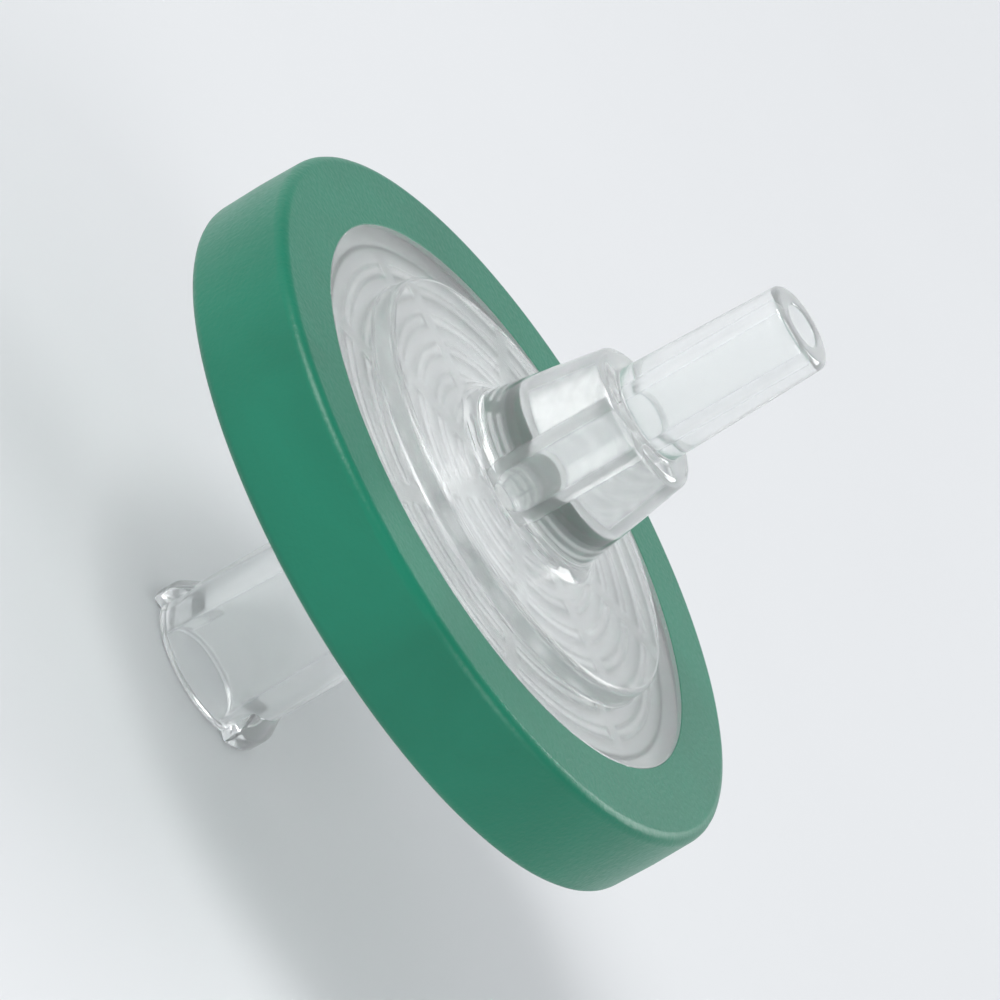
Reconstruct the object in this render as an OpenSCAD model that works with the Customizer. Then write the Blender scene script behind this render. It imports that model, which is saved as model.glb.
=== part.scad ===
// Sterile 33 mm syringe filter: two clear moulded housing halves with a white membrane
// disc clamped between them, bonded and sealed around the rim by an overmoulded ring.
// It stands on the end of its inlet hub, which is z = 0, with the outlet tip straight up.

/* [Ring] */
// Outer diameter of the overmoulded ring
ring_d = 33; // [31:0.5:40]
// Height of the ring
ring_h = 4.8; // [4.2:0.1:7]
// Thickness of the ring outside the flanges
ring_wall = 1.2; // [0.8:0.1:1.6]
// Thickness of each lip that wraps over a flange
ring_lip = 0.8; // [0.5:0.1:1.1]
// How far the lips reach in over the flanges
ring_reach = 2.3; // [1.6:0.1:2.6]
// Rounding of the ring's two outside edges
ring_round = 0.5; // [0.2:0.1:0.7]

/* [Membrane] */
// Thickness of the membrane
membrane_t = 0.15; // [0.1:0.05:0.4]
// Width of the membrane's rim that the halves clamp
clamp_w = 1.3; // [0.8:0.1:1.6]
// Weld land between the membrane's edge and the flanges' edge
weld_w = 1.8; // [1.4:0.1:3]

/* [Luer fittings] */
// Taper of both fittings on the diameter, per unit of length
luer_taper = 0.06; // [0.05:0.005:0.07]
// Diameter of the inlet socket at its mouth
socket_d = 4.3; // [4.2:0.05:4.6]
// Depth of the tapered inlet socket
socket_depth = 9; // [7.5:0.5:10]
// Outside diameter of the inlet hub
hub_d = 6.7; // [6.2:0.1:7]
// Diameter over the two locking lugs
lug_d = 7.8; // [7.4:0.1:8]
// Width of each lug
lug_w = 3.5; // [2.5:0.1:4]
// Height of each lug at the hub
lug_h = 1.8; // [1.2:0.1:2.5]
// Diameter of the outlet tip at its end
tip_d = 3.96; // [3.9:0.01:4.05]
// Length of the tapered outlet tip
tip_len = 7.8; // [7.5:0.1:10]

/* [Inlet half] */
// Length of the inlet side, from the hub's end to the ring's face
inlet_len = 10.9; // [9.9:0.1:14]
// Diameter of the flow hole behind the socket
inlet_hole_d = 2.2; // [1.5:0.1:3]
// Diameter of the raised pad around the hub
inlet_pad_d = 13; // [11:0.5:20]
// Height of the raised pad
inlet_pad_h = 0.8; // [0.5:0.1:1.2]
// Width of the pad's flat ledge around the cone
pad_ledge = 1; // [0.5:0.1:1.5]
// Length of the cone between the hub and the raised pad
hub_flare = 2; // [1.2:0.1:3]
// Depth of the chamber in front of the membrane
chamber_depth = 0.6; // [0.4:0.1:0.8]
// Number of spreading ribs in the chamber
spread_ribs = 8; // [4:1:12]
// Height of the spreading ribs
spread_rib_h = 0.4; // [0.2:0.1:0.4]
// Width of the spreading ribs
spread_rib_w = 0.5; // [0.4:0.1:0.8]
// Gap between a spreading rib's ends and the flow hole and the chamber's wall
spread_rib_gap = 1.2; // [0.8:0.1:2]

/* [Outlet half] */
// Diameter of the raised disc on the outlet face
outlet_disc_d = 20; // [15:0.5:24]
// Height of the raised disc
outlet_disc_h = 1; // [0.5:0.1:1.5]
// Diameter of the outlet boss where it leaves the raised disc
boss_base_d = 8.6; // [7.6:0.1:10]
// Diameter of the outlet boss at its shoulder
boss_top_d = 6.6; // [5.4:0.1:7.4]
// Height of the outlet boss
boss_h = 6; // [4:0.5:8]
// Rounding in the corner where the boss meets the raised disc
boss_fillet = 0.8; // [0.4:0.1:1.2]
// Diameter of the outlet's flow hole
outlet_hole_d = 2; // [1.2:0.1:2.6]
// Diameter of the shallow well where the channels meet the flow hole
well_d = 4; // [3.6:0.1:5]
// Depth of the drain grooves behind the membrane
drain_depth = 0.35; // [0.2:0.05:0.9]
// Width of each ring groove
groove_w = 0.9; // [0.6:0.1:1.2]
// Width of each rib that carries the membrane between the grooves
drain_rib_w = 0.5; // [0.4:0.1:0.8]
// Number of radial channels that lead to the flow hole
channels = 8; // [4:1:12]
// Width of each radial channel
channel_w = 0.9; // [0.6:0.1:1.2]

/* [Edges] */
// Rounding of the housing's outside edges
edge_round = 0.3; // [0.1:0.05:0.4]

/* [Hidden] */
$fn = 96;
eps = 0.01;

// Radii from the rim inwards
ring_r = ring_d / 2;
flange_r = ring_r - ring_wall;
face_r = flange_r - ring_reach;
membrane_r = flange_r - weld_w;
chamber_r = membrane_r - clamp_w;

// Heights from the hub's end, in the order in which the pieces stack
inlet_face_z = inlet_len;
pad_z = inlet_face_z - inlet_pad_h;
hub_z = pad_z - hub_flare;
inlet_flange_z = inlet_face_z + ring_lip;
mid_z = inlet_face_z + ring_h / 2;
chamber_z = mid_z - chamber_depth;
seat_z = mid_z + membrane_t;
drain_z = seat_z + drain_depth;
outlet_face_z = inlet_face_z + ring_h;
outlet_flange_z = outlet_face_z - ring_lip;
outlet_disc_z = outlet_face_z + outlet_disc_h;
shoulder_z = outlet_disc_z + boss_h;
top_z = shoulder_z + tip_len;

socket_end_d = socket_d - luer_taper * socket_depth;
tip_base_d = tip_d + luer_taper * tip_len;
tip_lean = atan(luer_taper / 2);
boss_lean = atan((boss_base_d - boss_top_d) / 2 / boss_h);
groove_pitch = groove_w + drain_rib_w;
grooves = floor((chamber_r - well_d / 2) / groove_pitch);

// How far a true arc's centre lies in from a corner whose wall leans, wider below.
function arc_inset(round, lean) = round * (1 - sin(lean)) / cos(lean);

// The waste around the outside corner at (r, z) of a half section, which leaves an arc.
module corner_waste(r, z, round, lean = 0) {
    inset = arc_inset(round, lean);
    translate([r, z]) difference() {
        polygon([[-inset, -round], [-inset, eps], [round, eps],
                 [round * cos(lean) - inset, round * sin(lean) - round]]);
        translate([-inset, -round]) circle(round);
    }
}

// Rounds the top edge of a disc or cone of radius r at height z.
module top_edge_cut(r, z, round, lean = 0) {
    rotate_extrude() corner_waste(r, z, round, lean);
}

// Rounds the bottom edge of a disc of radius r at height z.
module bottom_edge_cut(r, z, round) {
    translate([0, 0, z]) mirror([0, 0, 1]) top_edge_cut(r, 0, round);
}

// A straight-sided cone from z0 to z1, by its diameters there.
module taper(d0, d1, z0, z1) {
    translate([0, 0, z0]) cylinder(d1 = d0, d2 = d1, h = z1 - z0);
}

// A flat disc from z0 to z1.
module disc(r, z0, z1) {
    translate([0, 0, z0]) cylinder(r = r, h = z1 - z0);
}

// The two lugs that a syringe's lock collar grips, sloping back into the hub.
module lugs() {
    intersection() {
        union() {
            disc(lug_d / 2, 0, lug_h / 2);
            taper(lug_d, hub_d - 2 * eps, lug_h / 2, lug_h);
        }
        translate([-lug_d, -lug_w / 2, 0]) cube([2 * lug_d, lug_w, lug_h]);
    }
}

// Ribs on the chamber's floor that spread the liquid over the membrane.
module spreading_ribs() {
    start = inlet_hole_d / 2 + spread_rib_gap;
    for (i = [0 : spread_ribs - 1])
        rotate(360 * (i + 0.5) / spread_ribs)
            translate([start, -spread_rib_w / 2, chamber_z - eps])
                cube([chamber_r - spread_rib_gap - start, spread_rib_w, spread_rib_h + eps]);
}

// The inlet half's solid: hub, lugs, cone, raised pad and flange.
module inlet_body() {
    disc(hub_d / 2, 0, hub_z + eps);
    lugs();
    taper(hub_d, inlet_pad_d - 2 * pad_ledge, hub_z, pad_z);
    difference() {
        disc(inlet_pad_d / 2, pad_z, inlet_face_z + eps);
        bottom_edge_cut(inlet_pad_d / 2, pad_z, edge_round);
    }
    disc(face_r, inlet_face_z, inlet_flange_z + eps);
    disc(flange_r, inlet_flange_z, mid_z);
}

module inlet_housing() {
    color([0.88, 0.93, 0.92, 0.45])
    difference() {
        inlet_body();
        difference() {
            disc(chamber_r, chamber_z, mid_z + eps);
            spreading_ribs();
        }
        disc(inlet_hole_d / 2, 0, mid_z + eps);
        taper(socket_d, socket_end_d, 0, socket_depth);
        disc(socket_d / 2, -eps, 0);
    }
}

// Ring grooves and radial channels that carry the filtered liquid to the flow hole's well.
module drain() {
    start = (outlet_hole_d + well_d) / 4;
    disc(well_d / 2, mid_z, drain_z);
    for (i = [0 : grooves - 1])
        difference() {
            disc(chamber_r - i * groove_pitch, mid_z, drain_z);
            disc(chamber_r - i * groove_pitch - groove_w, mid_z - eps, drain_z + eps);
        }
    for (i = [0 : channels - 1])
        rotate(360 * i / channels)
            translate([start, -channel_w / 2, mid_z])
                cube([chamber_r - groove_w / 2 - start, channel_w, drain_z - mid_z]);
}

// The conical outlet boss, with its rounded shoulder and a fillet around its foot.
module boss() {
    foot_r = boss_base_d / 2 + arc_inset(boss_fillet, boss_lean);
    rotate_extrude() {
        difference() {
            polygon([[0, outlet_disc_z - eps], [boss_base_d / 2, outlet_disc_z - eps],
                     [boss_base_d / 2, outlet_disc_z], [boss_top_d / 2, shoulder_z], [0, shoulder_z]]);
            corner_waste(boss_top_d / 2, shoulder_z, edge_round, boss_lean);
        }
        translate([foot_r, outlet_disc_z]) difference() {
            polygon([[-foot_r, -eps], [0, -eps], [0, 0],
                     [-boss_fillet * cos(boss_lean), boss_fillet * (1 - sin(boss_lean))],
                     [-foot_r, boss_fillet * (1 - sin(boss_lean))]]);
            translate([0, boss_fillet]) circle(boss_fillet);
        }
    }
}

// The outlet half's solid: flange, raised disc, boss and tip.
module outlet_body() {
    disc(flange_r, mid_z, outlet_flange_z);
    disc(face_r, outlet_flange_z - eps, outlet_face_z);
    difference() {
        disc(outlet_disc_d / 2, outlet_face_z - eps, outlet_disc_z);
        top_edge_cut(outlet_disc_d / 2, outlet_disc_z, edge_round);
    }
    boss();
    difference() {
        taper(tip_base_d, tip_d, shoulder_z - eps, top_z);
        top_edge_cut(tip_d / 2, top_z, edge_round, tip_lean);
    }
}

module outlet_housing() {
    color([0.88, 0.93, 0.92, 0.45])
    difference() {
        outlet_body();
        disc(membrane_r, mid_z - eps, seat_z);
        drain();
        disc(outlet_hole_d / 2, mid_z, top_z + eps);
    }
}

module membrane() {
    color("white") disc(membrane_r, mid_z, seat_z);
}

module overmould_ring() {
    color([0.12, 0.6, 0.42])
    difference() {
        disc(ring_r, inlet_face_z, outlet_face_z);
        disc(face_r, inlet_face_z - eps, outlet_face_z + eps);
        disc(flange_r, inlet_flange_z, outlet_flange_z);
        top_edge_cut(ring_r, outlet_face_z, ring_round);
        bottom_edge_cut(ring_r, inlet_face_z, ring_round);
    }
}

inlet_housing();
outlet_housing();
membrane();
overmould_ring();
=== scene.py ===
"""Looks of a 33 mm syringe filter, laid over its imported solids: metres, +Z up, hub's end at z = 0."""

from math import cos, pi, radians, sin

import bmesh
import bpy
from mathutils import Matrix, Quaternion, Vector


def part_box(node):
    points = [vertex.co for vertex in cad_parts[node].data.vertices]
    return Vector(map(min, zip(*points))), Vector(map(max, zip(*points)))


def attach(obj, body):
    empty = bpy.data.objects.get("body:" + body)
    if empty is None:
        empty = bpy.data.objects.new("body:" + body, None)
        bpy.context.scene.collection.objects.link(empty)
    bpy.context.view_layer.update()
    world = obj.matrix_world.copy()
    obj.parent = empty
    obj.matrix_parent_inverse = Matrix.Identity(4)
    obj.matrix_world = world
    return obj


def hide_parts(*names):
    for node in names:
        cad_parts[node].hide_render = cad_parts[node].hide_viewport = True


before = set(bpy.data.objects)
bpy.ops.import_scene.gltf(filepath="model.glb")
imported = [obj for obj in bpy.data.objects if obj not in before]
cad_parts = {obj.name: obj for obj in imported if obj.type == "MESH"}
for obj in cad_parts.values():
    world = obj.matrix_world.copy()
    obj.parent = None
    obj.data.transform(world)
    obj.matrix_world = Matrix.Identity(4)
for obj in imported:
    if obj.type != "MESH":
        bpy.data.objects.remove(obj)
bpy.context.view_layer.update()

# ---------------------------------------------------------------------------- inlet half
# The half that a syringe locks onto: a hub with a tapered socket and two lugs, a cone, a raised pad
# and a flange, moulded in one shot in clear plastic. Inside is a shallow chamber, whose eight low
# ribs spread the liquid over the membrane. Its flange is bonded to the other half under the ring.
mm = 0.001
ring_low, ring_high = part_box("overmould_ring")
inlet_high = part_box("inlet_housing")[1]
mid_z = inlet_high.z
flange_r = inlet_high.x
inlet_face_z = ring_low.z
face_r = 13.0 * mm
chamber_r = 12.2 * mm
ring_lip = 0.8 * mm

socket_r = 2.15 * mm
socket_end_r = 1.88 * mm
socket_depth = 9.0 * mm
inlet_hole_r = 1.1 * mm
hub_r = 3.35 * mm
lug_r = 3.9 * mm
lug_h = 1.8 * mm
lug_half_angle = 27  # degrees
lug_root = 0.4 * mm  # how deep each lug is set into the hub's wall
lug_recess = 0.05 * mm  # how far each lug stays back from the hub's end
lug_edge = 0.12 * mm  # rounding of a lug's outside edges
lug_steps = 24  # facets along a lug
lug_corner = 15  # degrees past which an edge of a lug is rounded
hub_flare = 2.0 * mm  # height of the cone between hub and pad
hub_fillet = 0.5 * mm
pad_r = 6.5 * mm
pad_z = inlet_face_z - 0.8 * mm
pad_ledge = 1.0 * mm  # the pad's flat, outside the cone
pad_fillet = 0.2 * mm
chamber_z = mid_z - 0.6 * mm
spread_ribs = 8
spread_turn = 22.5  # degrees, which puts the ribs clear of the middles of the lugs
spread_rib_w = 0.5 * mm
spread_rib_h = 0.4 * mm
spread_rib_root = 0.1 * mm  # how deep each rib is set into the chamber's end wall
spread_rib_gap = 1.2 * mm  # how far a rib's ends stay from the flow hole and the chamber's wall

around = 192  # facets round a full turn, so that clear walls refract smoothly
rounding_steps = 5  # facets across a rounded edge
same_corner = 0.002 * mm  # corners closer together than this are one
crisp = 0.06 * mm  # rounding that a sharp mould edge leaves
bore_edge = 0.1 * mm  # rounding at the end of a narrow bore
eased = 0.15 * mm  # rounding of an edge that the mould softens
soft = 0.3 * mm  # rounding of the outside edges


def put_in_order(bm):
    """Numbers the corners, edges and faces by their place alone, so that each run gives one mesh."""
    slant = Vector((0.31, 0.57, 0.76))  # points past the symmetry of the filter, so that few places tie
    bm.verts.sort(key=lambda corner: corner.co.dot(slant))
    bm.edges.sort(key=lambda edge: sum(corner.co.dot(slant) for corner in edge.verts))
    bm.faces.sort(key=lambda face: sum(corner.co.dot(slant) for corner in face.verts))


def turned(outline):
    """Spins a closed half section about the flow axis. Each corner is (radius, height, rounding)."""
    bm = bmesh.new()
    corners = [bm.verts.new((radius, 0, height)) for radius, height, rounding in outline]
    for start, end in zip(corners, corners[1:] + corners[:1]):
        bm.edges.new((start, end))
    for corner, (radius, height, rounding) in zip(corners, outline):
        if rounding > 0:
            bmesh.ops.bevel(bm, geom=[corner], offset=rounding, offset_type="OFFSET",
                            segments=rounding_steps, profile=0.5, affect="VERTICES", material=-1,
                            clamp_overlap=True)
    bmesh.ops.spin(bm, geom=bm.verts[:] + bm.edges[:], cent=(0, 0, 0), axis=(0, 0, 1),
                   angle=2 * pi, steps=around, use_merge=True, use_duplicate=False)
    bmesh.ops.remove_doubles(bm, verts=bm.verts[:], dist=same_corner)
    on_axis = [edge for edge in bm.edges if edge.is_wire]
    bmesh.ops.delete(bm, geom=on_axis, context="EDGES")
    bmesh.ops.recalc_face_normals(bm, faces=bm.faces[:])
    put_in_order(bm)
    return bm


def as_object(name, bm):
    """Makes the bmesh an object in the scene, at the origin."""
    mesh = bpy.data.meshes.new(name)
    bm.to_mesh(mesh)
    bm.free()
    piece = bpy.data.objects.new(name, mesh)
    bpy.context.scene.collection.objects.link(piece)
    return piece


def spokes(count, turn, start, end, width, low, high):
    """Straight bars that stand round the flow axis like the spokes of a wheel, as one object."""
    bm = bmesh.new()
    for i in range(count):
        place = (Matrix.Rotation(radians(turn + 360 * i / count), 4, "Z")
                 @ Matrix.Translation(((start + end) / 2, 0, (low + high) / 2))
                 @ Matrix.Diagonal((end - start, width, high - low, 1)))
        bmesh.ops.create_cube(bm, size=1, matrix=place)
    return as_object("spokes", bm)


def shape_with(piece, tool, operation):
    """Adds the tool to the piece or cuts it away, then deletes the tool."""
    boolean = piece.modifiers.new("shape", "BOOLEAN")
    boolean.operation = operation
    boolean.solver = "MANIFOLD"
    boolean.object = tool
    shaped = piece.evaluated_get(bpy.context.evaluated_depsgraph_get())
    mesh = bpy.data.meshes.new_from_object(shaped)
    piece.modifiers.remove(boolean)
    bpy.data.objects.remove(tool)
    bm = bmesh.new()
    bm.from_mesh(mesh)
    put_in_order(bm)
    bmesh.ops.dissolve_degenerate(bm, edges=bm.edges[:], dist=same_corner)
    many_sided = [face for face in bm.faces if len(face.verts) > 4]
    bmesh.ops.triangulate(bm, faces=many_sided, quad_method="BEAUTY", ngon_method="BEAUTY")
    bm.to_mesh(mesh)
    bm.free()
    piece.data = mesh


crease = 24  # degrees past which the edge between two facets shows
flat_pull = 80  # how far wide faces outweigh narrow ones in the shading, where 50 is even


def finish_moulding(piece, material, node):
    """Smooth walls with true flats, then the finish, the body it rides on and the solid it covers."""
    piece.data.shade_smooth()
    piece.data.set_sharp_from_angle(angle=radians(crease))
    flats = piece.modifiers.new("flats", "WEIGHTED_NORMAL")
    flats.keep_sharp = True
    flats.weight = flat_pull
    piece.data.materials.clear()
    piece.data.materials.append(material)
    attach(piece, "root")
    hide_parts(node)


def new_material(name):
    """A material with its node tree, its shader and a helper that adds a node with its settings."""
    material = bpy.data.materials.new(name)
    material.use_nodes = True
    tree = material.node_tree
    shader = tree.nodes["Principled BSDF"]

    def add(kind, settings=(), **inputs):
        node = tree.nodes.new("ShaderNode" + kind)
        for key, value in dict(settings).items():
            setattr(node, key, value)
        for key, value in inputs.items():
            socket = node.inputs[key.replace("_", " ")]
            if isinstance(value, bpy.types.NodeSocket):
                tree.links.new(value, socket)
            else:
                socket.default_value = value
        return node

    return material, tree, shader, add


milky_tint = (0.96, 0.975, 0.97, 1)
clear_tint = (0.995, 1.0, 1.0, 1)
polished = 0.09  # roughness of the boss, tip and hub
satin = 0.22  # roughness of the outlet plate
frosted = 0.3  # roughness behind the membrane


def clear_plastic(name, roughness):
    """Colourless moulded plastic: glossy, faintly milky, and a little uneven in its skin."""
    material, tree, shader, add = new_material(name)
    shader.inputs["Transmission Weight"].default_value = 0.86
    shader.inputs["IOR"].default_value = 1.53
    shader.inputs["Roughness"].default_value = roughness
    place = add("TexCoord").outputs["Object"]
    flow = add("TexNoise", Vector=place, Scale=160.0, Detail=1.5, Distortion=0.4)
    tint = add("ValToRGB", Fac=flow.outputs["Fac"])
    tint.color_ramp.elements[0].color = milky_tint
    tint.color_ramp.elements[1].color = clear_tint
    tree.links.new(tint.outputs["Color"], shader.inputs["Base Color"])
    ripple = add("Bump", Height=flow.outputs["Fac"], Strength=0.15, Distance=0.05 * mm)
    skin = add("TexNoise", Vector=place, Scale=2600.0, Detail=2.0)
    grain = add("Bump", Height=skin.outputs["Fac"], Normal=ripple.outputs["Normal"], Strength=0.06,
                Distance=0.01 * mm)
    tree.links.new(grain.outputs["Normal"], shader.inputs["Normal"])
    return material


inlet_bm = turned([
    (socket_r, 0, crisp),
    (hub_r, 0, eased),
    (hub_r, pad_z - hub_flare, hub_fillet),
    (pad_r - pad_ledge, pad_z, pad_fillet),
    (pad_r, pad_z, soft),
    (pad_r, inlet_face_z, eased),
    (face_r, inlet_face_z, crisp),
    (face_r, inlet_face_z + ring_lip, crisp),
    (flange_r, inlet_face_z + ring_lip, crisp),
    (flange_r, mid_z, crisp),
    (chamber_r, mid_z, crisp),
    (chamber_r, chamber_z, eased),
    (inlet_hole_r, chamber_z, eased),
    (inlet_hole_r, socket_depth, 0),
    (socket_end_r, socket_depth, bore_edge),
])


def lug(middle):
    """A locking lug with radial ends and a top that slopes back into the hub, centred on one angle."""
    bm = bmesh.new()
    section = [(hub_r - lug_root, lug_recess), (lug_r, lug_recess), (lug_r, lug_h / 2),
               (hub_r, lug_h), (hub_r - lug_root, lug_h)]
    face = bm.faces.new([bm.verts.new((radius, 0, height)) for radius, height in section])
    bmesh.ops.rotate(bm, verts=bm.verts[:], cent=(0, 0, 0),
                     matrix=Matrix.Rotation(radians(middle - lug_half_angle), 3, "Z"))
    bmesh.ops.spin(bm, geom=[face] + face.edges[:] + face.verts[:], cent=(0, 0, 0), axis=(0, 0, 1),
                   angle=radians(2 * lug_half_angle), steps=lug_steps, use_merge=False,
                   use_duplicate=False)
    bmesh.ops.recalc_face_normals(bm, faces=bm.faces[:])
    outside = hub_r - lug_edge
    corners = [edge for edge in bm.edges if edge.calc_face_angle() > radians(lug_corner)
               and all(Vector(point.co[:2]).length > outside for point in edge.verts)]
    bmesh.ops.bevel(bm, geom=corners, offset=lug_edge, offset_type="OFFSET", segments=rounding_steps,
                    profile=0.5, affect="EDGES", material=-1, clamp_overlap=True)
    return as_object("lug", bm)


inlet = as_object("inlet_half", inlet_bm)
for middle in (0, 180):
    shape_with(inlet, lug(middle), "UNION")
shape_with(inlet, spokes(spread_ribs, spread_turn, inlet_hole_r + spread_rib_gap,
                         chamber_r - spread_rib_gap, spread_rib_w, chamber_z - spread_rib_root,
                         chamber_z + spread_rib_h), "UNION")
clear = clear_plastic("clear_plastic", polished)
finish_moulding(inlet, clear, "inlet_housing")

# ---------------------------------------------------------------------------- membrane
# A white porous disc of cast polymer, 0.15 mm thick, that does the filtering. Its rim is clamped
# between the halves, and the liquid passes through its open middle.
membrane_low, membrane_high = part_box("membrane")
membrane_r = membrane_high.x
seat_z = membrane_high.z
slack = 0.015 * mm  # air between the dry membrane and the plastic on both its sides
membrane_edge = 0.03 * mm
dull_white = (0.90, 0.91, 0.90, 1)
clean_white = (0.95, 0.955, 0.95, 1)


def porous_white():
    """Matt white cast membrane: a fine porous tooth and faint cloudy streaks from the casting."""
    material, tree, shader, add = new_material("porous_white")
    shader.inputs["Roughness"].default_value = 0.85
    shader.inputs["Specular IOR Level"].default_value = 0.25
    place = add("TexCoord").outputs["Object"]
    cloud = add("TexNoise", Vector=place, Scale=420.0, Detail=4.0, Roughness=0.6)
    tone = add("ValToRGB", Fac=cloud.outputs["Fac"])
    tone.color_ramp.elements[0].position = 0.3
    tone.color_ramp.elements[0].color = dull_white
    tone.color_ramp.elements[1].position = 0.7
    tone.color_ramp.elements[1].color = clean_white
    tree.links.new(tone.outputs["Color"], shader.inputs["Base Color"])
    pores = add("TexNoise", Vector=place, Scale=14000.0, Detail=3.0, Roughness=0.7)
    tooth = add("Bump", Height=pores.outputs["Fac"], Strength=0.5, Distance=0.02 * mm)
    tree.links.new(tooth.outputs["Normal"], shader.inputs["Normal"])
    return material


membrane = as_object("membrane_disc", turned([
    (0, membrane_low.z + slack, 0),
    (membrane_r, membrane_low.z + slack, membrane_edge),
    (membrane_r, seat_z - slack, membrane_edge),
    (0, seat_z - slack, 0),
]))
finish_moulding(membrane, porous_white(), "membrane")

# ---------------------------------------------------------------------------- outlet half
# The half that the filtered liquid leaves by: a flange, a raised disc, a conical boss and a tapered
# tip, moulded in clear plastic, polished on the boss and tip, satin on the plate, frosted inside. Ring
# grooves and eight radial channels lead the liquid to the flow hole, and their ribs carry the membrane.
outlet_face_z = ring_high.z
tip_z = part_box("outlet_housing")[1].z
disc_r = 10.0 * mm
disc_z = outlet_face_z + 1.0 * mm
boss_base_r = 4.3 * mm
boss_fillet = 0.7 * mm
boss_top_r = 3.3 * mm
shoulder_z = disc_z + 6.0 * mm
tip_base_r = 2.214 * mm
tip_end_r = 1.98 * mm
outlet_hole_r = 1.0 * mm
well_r = 2.0 * mm
drain_z = seat_z + 0.35 * mm
groove_w = 0.9 * mm
groove_pitch = 1.4 * mm
grooves = 7
groove_edge = 0.13 * mm
channels = 8
channel_w = 0.9 * mm


def groove_corners():
    """The corners of the ring grooves in the half section, from the well outwards."""
    corners = [(well_r, drain_z, groove_edge), (well_r, seat_z, groove_edge)]
    for i in reversed(range(grooves)):
        wide = chamber_r - i * groove_pitch
        narrow = wide - groove_w
        corners += [(narrow, seat_z, groove_edge), (narrow, drain_z, groove_edge),
                    (wide, drain_z, groove_edge), (wide, seat_z, groove_edge)]
    return corners


outlet = as_object("outlet_half", turned([
    (membrane_r, seat_z, 0),
    (membrane_r, mid_z + slack, crisp),
    (flange_r, mid_z + slack, crisp),
    (flange_r, outlet_face_z - ring_lip, crisp),
    (face_r, outlet_face_z - ring_lip, crisp),
    (face_r, outlet_face_z, crisp),
    (disc_r, outlet_face_z, eased),
    (disc_r, disc_z, soft),
    (boss_base_r, disc_z, boss_fillet),
    (boss_top_r, shoulder_z, soft),
    (tip_base_r, shoulder_z, eased),
    (tip_end_r, tip_z, soft),
    (outlet_hole_r, tip_z, bore_edge),
    (outlet_hole_r, drain_z, eased),
] + groove_corners()))
shape_with(outlet, spokes(channels, 0, (outlet_hole_r + well_r) / 2, chamber_r - groove_w / 2,
                          channel_w, mid_z, drain_z), "DIFFERENCE")
finish_moulding(outlet, clear, "outlet_housing")
outlet.data.materials.append(clear_plastic("satin_plastic", satin))
outlet.data.materials.append(clear_plastic("frosted_plastic", frosted))
polished_slot, satin_slot, frosted_slot = range(3)
plate_low = outlet_face_z - 0.1 * mm
plate_high = disc_z + 0.1 * mm
plate_start = boss_base_r + 0.5 * mm  # the boss's foot is polished out to here
drain_top = drain_z + 0.01 * mm
drain_r = chamber_r + crisp
for face in outlet.data.polygons:
    radius = Vector(face.center[:2]).length
    height = face.center.z
    if plate_low < height < plate_high and radius > plate_start:
        face.material_index = satin_slot
    elif height < drain_top and radius < drain_r:
        face.material_index = frosted_slot
    else:
        face.material_index = polished_slot

# ---------------------------------------------------------------------------- overmoulded ring
# A green ring moulded round both flanges once they are put together, which bonds them and seals the
# rim. It wraps over each flange with a lip, and its two mould halves part at its middle height.
ring_r = ring_high.x
ring_edge = 0.5 * mm
ring_draft = 0.05 * mm  # how far the outside leans in from the parting line to each face
bond = 0.02 * mm  # how far the green wets into the clear walls, so that no air shows between them
deep_green = (0.002, 0.170, 0.096, 1)
light_green = (0.004, 0.210, 0.122, 1)


def green_plastic():
    """Emerald opaque plastic: satin, slightly translucent, with a fine moulded grain."""
    material, tree, shader, add = new_material("green_plastic")
    shader.inputs["Subsurface Weight"].default_value = 0.15
    shader.inputs["Subsurface Radius"].default_value = (0.3, 1.0, 0.6)
    shader.inputs["Subsurface Scale"].default_value = 1.2 * mm
    shader.inputs["Specular IOR Level"].default_value = 0.42
    place = add("TexCoord").outputs["Object"]
    swirl = add("TexNoise", Vector=place, Scale=110.0, Detail=3.0, Distortion=0.8)
    tone = add("ValToRGB", Fac=swirl.outputs["Fac"])
    tone.color_ramp.elements[0].position = 0.25
    tone.color_ramp.elements[0].color = deep_green
    tone.color_ramp.elements[1].position = 0.75
    tone.color_ramp.elements[1].color = light_green
    tree.links.new(tone.outputs["Color"], shader.inputs["Base Color"])
    grain = add("TexNoise", Vector=place, Scale=4200.0, Detail=2.0)
    gloss = add("MapRange", Value=grain.outputs["Fac"], To_Min=0.26, To_Max=0.46)
    tree.links.new(gloss.outputs["Result"], shader.inputs["Roughness"])
    skin = add("Bump", Height=grain.outputs["Fac"], Strength=0.6, Distance=0.03 * mm)
    sink = add("Bump", Height=swirl.outputs["Fac"], Normal=skin.outputs["Normal"], Strength=0.35,
               Distance=0.1 * mm)
    tree.links.new(sink.outputs["Normal"], shader.inputs["Normal"])
    return material


ring = as_object("sealing_ring", turned([
    (face_r - bond, inlet_face_z, crisp),
    (ring_r - ring_draft, inlet_face_z, ring_edge),
    (ring_r, mid_z, 0),
    (ring_r - ring_draft, outlet_face_z, ring_edge),
    (face_r - bond, outlet_face_z, crisp),
    (face_r - bond, outlet_face_z - ring_lip - bond, 0),
    (flange_r - bond, outlet_face_z - ring_lip - bond, 0),
    (flange_r - bond, inlet_face_z + ring_lip + bond, 0),
    (face_r - bond, inlet_face_z + ring_lip + bond, 0),
]))
finish_moulding(ring, green_plastic(), "overmould_ring")

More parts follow.
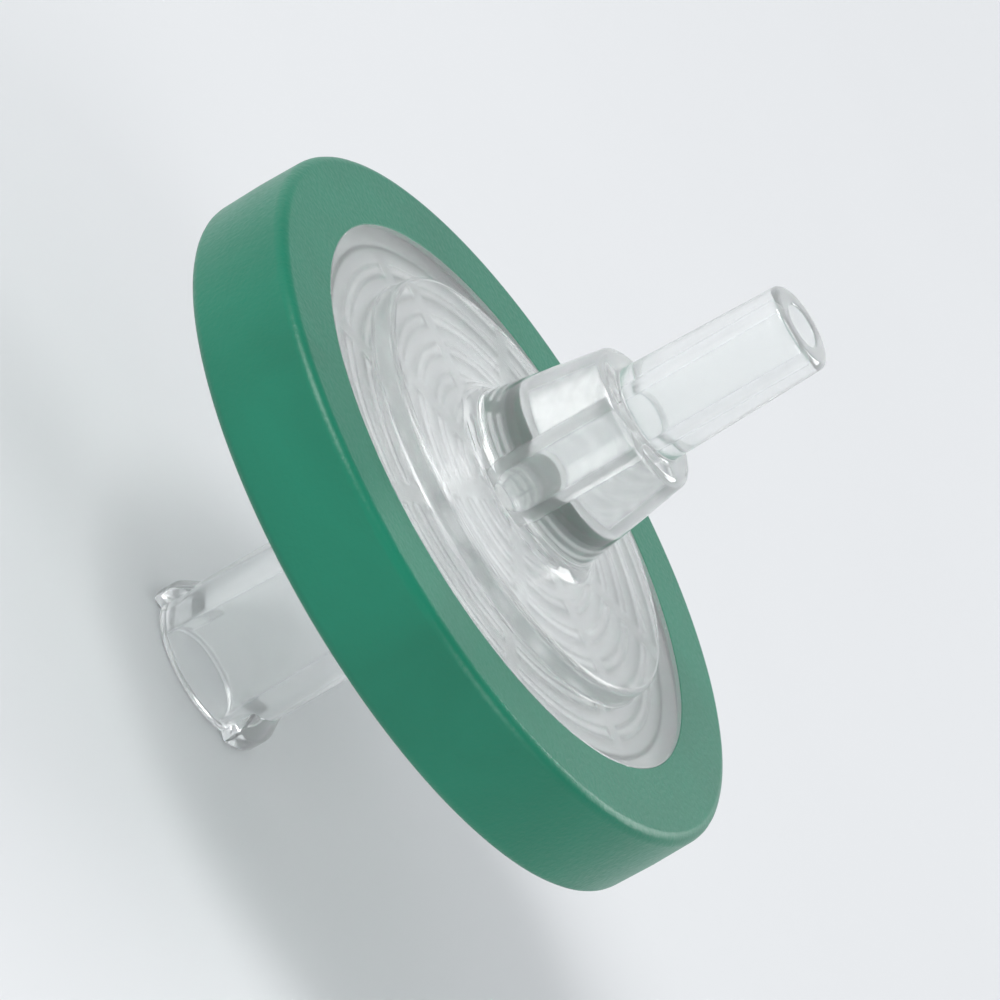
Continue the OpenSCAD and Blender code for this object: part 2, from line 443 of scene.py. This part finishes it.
# ---------------------------------------------------------------------------- floor and backdrop
# A matt pale sheet that lies flat under the filter and sweeps up into a low round wall, as the sheet
# of a studio cove does. It is only a setting, and no part of the filter.
floor_r = 0.9
floor_z = -0.03 * mm  # a hair below the hub's end, so that the two faces don't coincide
wall_h = 0.35
sweep_r = 0.3  # how wide the floor curves up into the wall
sweep_steps = 16
around_floor = 96
sheet_shade = (0.80, 0.81, 0.82, 1)
sheet_light = (0.83, 0.84, 0.85, 1)
sheet_glow = (0.79, 0.82, 0.84, 1)
glow_start = 0.22  # metres from the filter at which the even glow sets in
glow_full = 0.50


def pale_sheet():
    """Matt pale paper, a touch uneven, that looks evenly lit where it is far from the filter."""
    material, tree, shader, add = new_material("pale_sheet")
    shader.inputs["Roughness"].default_value = 0.9
    shader.inputs["Specular IOR Level"].default_value = 0.2
    place = add("TexCoord").outputs["Object"]
    mottle = add("TexNoise", Vector=place, Scale=30.0, Detail=3.0)
    tone = add("ValToRGB", Fac=mottle.outputs["Fac"])
    tone.color_ramp.elements[0].color = sheet_shade
    tone.color_ramp.elements[1].color = sheet_light
    tree.links.new(tone.outputs["Color"], shader.inputs["Base Color"])
    reach = add("VectorMath", {"operation": "LENGTH"}, Vector=place)
    far = add("MapRange", Value=reach.outputs["Value"], From_Min=glow_start, From_Max=glow_full)
    ray = add("LightPath")
    seen = ray.outputs["Is Camera Ray"]
    for kind in ("Is Glossy Ray", "Is Transmission Ray"):
        seen = add("Math", {"operation": "MAXIMUM"}, Value=seen).outputs["Value"]
        tree.links.new(ray.outputs[kind], seen.node.inputs[1])
    share = add("Math", {"operation": "MULTIPLY"}, Value=seen)
    tree.links.new(far.outputs["Result"], share.inputs[1])
    glow = add("Emission", Color=sheet_glow)
    both = add("MixShader", Fac=share.outputs["Value"])
    tree.links.new(shader.outputs["BSDF"], both.inputs[1])
    tree.links.new(glow.outputs["Emission"], both.inputs[2])
    tree.links.new(both.outputs["Shader"], tree.nodes["Material Output"].inputs["Surface"])
    material.cycles.emission_sampling = "NONE"  # the glow is seen, and lights nothing
    return material


floor_bm = bmesh.new()
bmesh.ops.create_circle(floor_bm, cap_ends=True, radius=floor_r, segments=around_floor)
rim = [edge for edge in floor_bm.edges if edge.is_boundary]
wall = bmesh.ops.extrude_edge_only(floor_bm, edges=rim)["geom"]
bmesh.ops.translate(floor_bm, vec=(0, 0, wall_h),
                    verts=[item for item in wall if isinstance(item, bmesh.types.BMVert)])
bmesh.ops.bevel(floor_bm, geom=rim, offset=sweep_r, offset_type="OFFSET", segments=sweep_steps,
                profile=0.5, affect="EDGES", material=-1)
bmesh.ops.translate(floor_bm, vec=(0, 0, floor_z), verts=floor_bm.verts[:])
floor = as_object("pale_floor", floor_bm)
floor.data.shade_smooth()
floor.data.materials.append(pale_sheet())

# ---------------------------------------------------------------------------- light
# Soft studio light: a large key lamp on the left, a weaker fill on the right and a strip behind,
# under an even pale sky that fills the shade.
def soft_lamp(name, place, width, height, power):
    """A rectangular area lamp at place that faces the middle of the filter."""
    lamp = bpy.data.lights.new(name, "AREA")
    lamp.shape = "RECTANGLE"
    lamp.size = width
    lamp.size_y = height
    lamp.energy = power
    holder = bpy.data.objects.new(name, lamp)
    holder.location = place
    towards = Vector((0, 0, mid_z)) - Vector(place)
    holder.rotation_euler = towards.to_track_quat("-Z", "Y").to_euler()
    bpy.context.scene.collection.objects.link(holder)


soft_lamp("key_lamp", (-0.35, -0.30, 0.42), width=0.30, height=0.30, power=2.2)
soft_lamp("fill_lamp", (0.45, -0.25, 0.30), width=0.25, height=0.35, power=0.8)
soft_lamp("back_lamp", (0.15, 0.50, 0.35), width=0.40, height=0.15, power=1.0)

world = bpy.data.worlds.new("studio")
bpy.context.scene.world = world
world.use_nodes = True
sky = world.node_tree.nodes["Background"]
sky.inputs["Color"].default_value = (0.93, 0.96, 1.0, 1)
sky.inputs["Strength"].default_value = 0.45

# ---------------------------------------------------------------------------- camera
# A long lens, low over the outlet side and rolled, so that the flow axis leans to the upper right.
# It aims at the middle of the filter's height from far enough to keep the ring's ellipse true.
camera_turn = radians(12)
camera_rise = radians(18)
camera_roll = radians(60)
camera_distance = 0.42
lens = 360.0

camera_data = bpy.data.cameras.new("camera")
camera_data.lens = lens
camera_data.clip_start = 0.01
camera = bpy.data.objects.new("camera", camera_data)
bpy.context.scene.collection.objects.link(camera)
bpy.context.scene.camera = camera
away = Vector((sin(camera_turn) * cos(camera_rise),
               -cos(camera_turn) * cos(camera_rise),
               sin(camera_rise)))
camera.rotation_mode = "QUATERNION"
camera.rotation_quaternion = (-away).to_track_quat("-Z", "Y") @ Quaternion((0, 0, 1), camera_roll)
camera.location = Vector((0, 0, tip_z / 2)) + away * camera_distance

bpy.context.scene.view_settings.view_transform = "Standard"

# Light crosses many clear walls and reflects inside them, so it gets enough bounces to come out.
cycles = bpy.context.scene.cycles
cycles.max_bounces = 24
cycles.transmission_bounces = 24
cycles.glossy_bounces = 16
cycles.blur_glossy = 0
